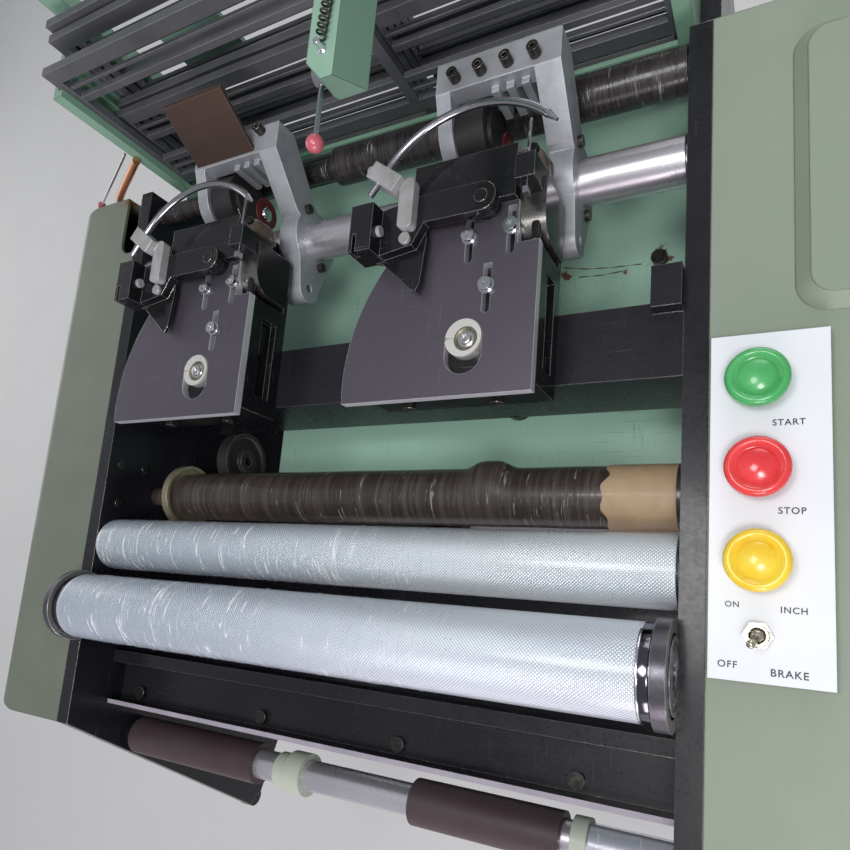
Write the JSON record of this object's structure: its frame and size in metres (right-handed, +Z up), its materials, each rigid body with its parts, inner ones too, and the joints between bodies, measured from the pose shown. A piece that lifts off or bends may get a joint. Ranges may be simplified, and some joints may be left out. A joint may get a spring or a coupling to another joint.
{
  "type": "power loom",
  "caption": "Free-standing needle power loom for narrow fabric: weaving heads on a beam, take-up rollers, rocking sley, heald frames in a rear gantry and a push-button panel.",
  "frame": {"origin": "on the floor, in the middle of the loom's outline seen from above", "axes": "+X to the right as the weaver sees it, +Y from the weaver's side to the warp side, +Z up"},
  "size_m": [0.863, 0.904, 1.08],
  "materials": {
    "black_paint": "satin",
    "black_head": "gloss",
    "sage_paint": "satin",
    "mint_paint": "satin",
    "motor_paint": "satin",
    "dark_iron": "matt",
    "black_screws": "oiled",
    "silver_roller": "knurled",
    "shaft_steel": "ground",
    "wrapped_roller": "wrapped in film",
    "cream_brass": "dull",
    "rubber": "matt",
    "nylon": "translucent",
    "cast_light": "satin",
    "reed_brown": "satin",
    "ground_steel": "ground",
    "needle_steel": "polished",
    "slat_aluminium": "dull",
    "knob_red": "gloss",
    "panel_white": "satin",
    "green_plastic": "gloss",
    "red_plastic": "gloss",
    "yellow_plastic": "gloss"
  },
  "bodies": {
    "frame": {"left_side_plate": "black_paint", "right_side_plate": "black_paint", "left_casing": "sage_paint", "right_casing": "sage_paint", "base_frame": "black_paint", "levelling_feet": "dark_iron", "bed_plate": "mint_paint", "cross_beam": "black_paint", "front_rail": "black_paint", "frame_bolts": "black_screws", "roller_end_arms": "dark_iron", "head_body_left": "black_head", "head_body_right": "black_head", "head_plate_left": "ground_steel", "head_plate_right": "ground_steel", "eccentric_discs": "cream_brass", "plate_screws": "ground_steel", "heald_guides": "mint_paint", "stop_box": "mint_paint", "control_panel": "panel_white", "toggle_switch": "needle_steel", "motor": "motor_paint", "drive_belt": "rubber"},
    "front_roller": {"front_roller": "silver_roller"},
    "takeup_roller": {"takeup_roller": "silver_roller"},
    "cloth_roller": {"cloth_roller": "wrapped_roller", "roller_flange": "cream_brass"},
    "takeup_wheel": {"takeup_wheel": "dark_iron"},
    "delivery": {"delivery_shaft": "shaft_steel", "rubber_rollers": "rubber", "shaft_collars": "nylon"},
    "rear_roller": {"rear_roller": "wrapped_roller"},
    "sley": {"sley_shaft": "shaft_steel", "sley_bracket_left": "cast_light", "sley_bracket_right": "cast_light", "bracket_screws": "black_screws", "bracket_buffers": "rubber", "reed_guard": "reed_brown"},
    "needle_left": {"needle_arm_left": "black_head", "needle_clamp_left": "cast_light", "weft_needle_left": "needle_steel"},
    "needle_right": {"needle_arm_right": "black_head", "needle_clamp_right": "cast_light", "weft_needle_right": "needle_steel"},
    "latch_left": {"latch_needle_left": "needle_steel"},
    "latch_right": {"latch_needle_right": "needle_steel"},
    "heald_1": {"heald_frame_1": "slat_aluminium"},
    "heald_2": {"heald_frame_2": "slat_aluminium"},
    "heald_3": {"heald_frame_3": "slat_aluminium"},
    "heald_4": {"heald_frame_4": "slat_aluminium"},
    "heald_5": {"heald_frame_5": "slat_aluminium"},
    "heald_6": {"heald_frame_6": "slat_aluminium"},
    "trip": {"trip_lever": "needle_steel", "trip_knob": "knob_red"},
    "start": {"start_button": "green_plastic"},
    "stop": {"stop_button": "red_plastic"},
    "inch": {"inch_button": "yellow_plastic"},
    "toggle": {"toggle_lever": "needle_steel"},
    "main_drive": {"main_shaft": "shaft_steel"},
    "motor_drive": {"motor_pulley": "dark_iron"}
  },
  "joints": [
    {"name": "takeup_roller_spin", "type": "hinge", "parent": "frame", "child": "takeup_roller", "pos_m": [-0.0315, -0.1344, 0.856], "axis": [1, 0, 0], "continuous": true},
    {"name": "front_roller_spin", "type": "hinge", "parent": "frame", "child": "front_roller", "pos_m": [-0.0315, -0.199, 0.892], "axis": [1, 0, 0], "continuous": true},
    {"name": "cloth_roller_spin", "type": "hinge", "parent": "frame", "child": "cloth_roller", "pos_m": [-0.0315, -0.076, 0.81], "axis": [1, 0, 0], "continuous": true},
    {"name": "takeup_wheel_spin", "type": "hinge", "parent": "frame", "child": "takeup_wheel", "pos_m": [-0.2815, -0.016, 0.72], "axis": [1, 0, 0], "continuous": true},
    {"name": "delivery_spin", "type": "hinge", "parent": "frame", "child": "delivery", "pos_m": [-0.0315, -0.335, 0.79], "axis": [1, 0, 0], "continuous": true},
    {"name": "rear_roller_spin", "type": "hinge", "parent": "frame", "child": "rear_roller", "pos_m": [-0.0315, 0.241, 0.86], "axis": [1, 0, 0], "continuous": true},
    {"name": "main_shaft_spin", "type": "hinge", "parent": "frame", "child": "main_drive", "pos_m": [-0.0315, 0.162, 0.58], "axis": [1, 0, 0], "continuous": true},
    {"name": "motor_pulley_spin", "type": "hinge", "parent": "frame", "child": "motor_drive", "pos_m": [-0.2815, 0.162, 0.18], "axis": [1, 0, 0], "continuous": true},
    {"name": "sley_swing", "type": "hinge", "parent": "frame", "child": "sley", "pos_m": [-0.0315, 0.1656, 0.86], "axis": [1, 0, 0], "range_deg": [0, 22]},
    {"name": "needle_left_swing", "type": "hinge", "parent": "frame", "child": "needle_left", "pos_m": [-0.1355, 0.114, 0.942], "axis": [0, 0, 1], "range_deg": [0, 100]},
    {"name": "latch_left_slide", "type": "slide", "parent": "frame", "child": "latch_left", "axis": [0, -1, 0], "range_m": [0, 0.012]},
    {"name": "needle_right_swing", "type": "hinge", "parent": "frame", "child": "needle_right", "pos_m": [0.1245, 0.114, 0.942], "axis": [0, 0, 1], "range_deg": [0, 100]},
    {"name": "latch_right_slide", "type": "slide", "parent": "frame", "child": "latch_right", "axis": [0, -1, 0], "range_m": [0, 0.012]},
    {"name": "heald_1_lift", "type": "slide", "parent": "frame", "child": "heald_1", "axis": [0, 0, 1], "range_m": [-0.078, 0]},
    {"name": "heald_2_lift", "type": "slide", "parent": "frame", "child": "heald_2", "axis": [0, 0, 1], "range_m": [0, 0.078]},
    {"name": "heald_3_lift", "type": "slide", "parent": "frame", "child": "heald_3", "axis": [0, 0, 1], "range_m": [0, 0.078]},
    {"name": "heald_4_lift", "type": "slide", "parent": "frame", "child": "heald_4", "axis": [0, 0, 1], "range_m": [-0.078, 0]},
    {"name": "heald_5_lift", "type": "slide", "parent": "frame", "child": "heald_5", "axis": [0, 0, 1], "range_m": [-0.078, 0]},
    {"name": "heald_6_lift", "type": "slide", "parent": "frame", "child": "heald_6", "axis": [0, 0, 1], "range_m": [0, 0.078]},
    {"name": "trip_lever_tilt", "type": "hinge", "parent": "frame", "child": "trip", "pos_m": [0.067, 0.138, 1.058], "axis": [1, 0, 0], "range_deg": [-15, 15]},
    {"name": "start_press", "type": "slide", "parent": "frame", "child": "start", "axis": [0, 0, -1], "range_m": [0, 0.004], "stiffness_N_per_m": 600, "springref_m": -0.002},
    {"name": "stop_press", "type": "slide", "parent": "frame", "child": "stop", "axis": [0, 0, -1], "range_m": [0, 0.004], "stiffness_N_per_m": 600, "springref_m": -0.002},
    {"name": "inch_press", "type": "slide", "parent": "frame", "child": "inch", "axis": [0, 0, -1], "range_m": [0, 0.004], "stiffness_N_per_m": 600, "springref_m": -0.002},
    {"name": "toggle_flip", "type": "hinge", "parent": "frame", "child": "toggle", "pos_m": [0.2955, -0.171, 0.893], "axis": [0.866, -0.5, 0], "range_deg": [-44, 0]}
  ],
  "couplings": [
    {"joint": "front_roller_spin", "follows": "takeup_roller_spin", "ratio": -0.8328},
    {"joint": "cloth_roller_spin", "follows": "takeup_roller_spin", "ratio": 1.0367},
    {"joint": "takeup_wheel_spin", "follows": "takeup_roller_spin", "ratio": -1},
    {"joint": "delivery_spin", "follows": "takeup_roller_spin", "ratio": 1.3368},
    {"joint": "needle_left_swing", "follows": "sley_swing", "ratio": 4.545},
    {"joint": "needle_right_swing", "follows": "sley_swing", "ratio": 4.545},
    {"joint": "latch_left_slide", "follows": "sley_swing", "m_per_rad": 0.03099},
    {"joint": "latch_right_slide", "follows": "sley_swing", "m_per_rad": 0.03099},
    {"joint": "motor_pulley_spin", "follows": "main_shaft_spin", "ratio": 2.75},
    {"joint": "heald_2_lift", "follows": "heald_1_lift", "ratio": -1},
    {"joint": "heald_3_lift", "follows": "heald_1_lift", "ratio": -1},
    {"joint": "heald_4_lift", "follows": "heald_1_lift", "ratio": 1},
    {"joint": "heald_5_lift", "follows": "heald_1_lift", "ratio": 1},
    {"joint": "heald_6_lift", "follows": "heald_1_lift", "ratio": -1}
  ]
}
